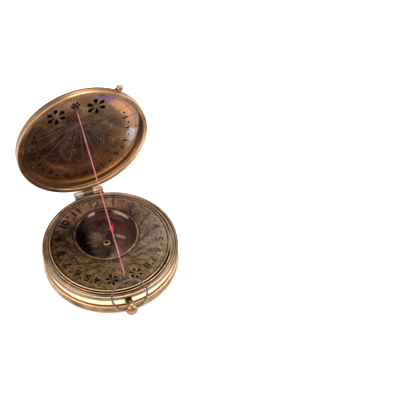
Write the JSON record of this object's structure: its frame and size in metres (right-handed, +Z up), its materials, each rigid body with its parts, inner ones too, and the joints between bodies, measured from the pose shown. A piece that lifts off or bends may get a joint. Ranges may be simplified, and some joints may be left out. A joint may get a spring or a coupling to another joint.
{
  "type": "pocket sundial compass",
  "caption": "Round brass pocket case with a compass set in a sundial plate, a domed lid on a hinge, a thread gnomon that the open lid pulls tight, a lid knob and a bow ring.",
  "frame": {"origin": "middle of the case's foot, on the surface that it stands on", "axes": "+Z up, +Y to the hinge behind, -Y to the bow in front, +X to the right along the hinge"},
  "size_m": [0.072, 0.093, 0.087],
  "materials": {
    "case_brass": "aged satin",
    "band_brass": "polished",
    "bezel_brass": "aged, polished edges",
    "dial_brass": "mottled dark patina, engraved",
    "bowl_brass": "aged satin",
    "card_brass": "dark patina, engraved",
    "lid_brass": "brushed",
    "rim_brass": "satin",
    "plate_bronze": "glossy dark bronze patina, engraved",
    "copper_gold": "polished",
    "needle_metal": "satin, one end painted red",
    "ring_metal": "dull, dark",
    "hinge_metal": "satin",
    "steel": "polished",
    "glass": "clear",
    "jewel": "polished",
    "thread": "twisted cotton"
  },
  "bodies": {
    "case": {"case_cup": "case_brass", "waist_band": "band_brass", "case_bezel": "bezel_brass", "dial_plate": "dial_brass", "compass_bowl": "bowl_brass", "compass_card": "card_brass", "pivot_post": "steel", "compass_glass": "glass", "glass_ring": "bezel_brass", "hinge_leaf_case": "hinge_metal", "hinge_pin": "hinge_metal", "bow_post": "copper_gold", "bow_nut": "hinge_metal", "gnomon_thread": "thread", "case_knot": "thread"},
    "lid": {"lid_shell": "lid_brass", "lid_rim": "rim_brass", "lid_plate": "plate_bronze", "hinge_leaf_lid": "rim_brass", "lid_knob": "copper_gold", "knob_collar": "bezel_brass", "lid_knot": "thread"},
    "needle": {"needle_blade": "needle_metal", "needle_cap": "copper_gold", "needle_jewel": "jewel"},
    "bow": {"bow_ring": "ring_metal"}
  },
  "joints": [
    {"name": "lid_hinge", "type": "hinge", "parent": "case", "child": "lid", "pos_m": [0, 0.03795, 0.0132], "axis": [1, 0, 0], "range_deg": [0, 93], "deforming": ["gnomon_thread"]},
    {"name": "needle_spin", "type": "hinge", "parent": "case", "child": "needle", "pos_m": [-0.00015, 0.006, 0.0066], "axis": [0, 0, 1], "continuous": true},
    {"name": "bow_swing", "type": "hinge", "parent": "case", "child": "bow", "pos_m": [-0.00186, -0.04096, 0.0088], "axis": [0.999, -0.0454, 0], "range_deg": [0, 130]}
  ]
}
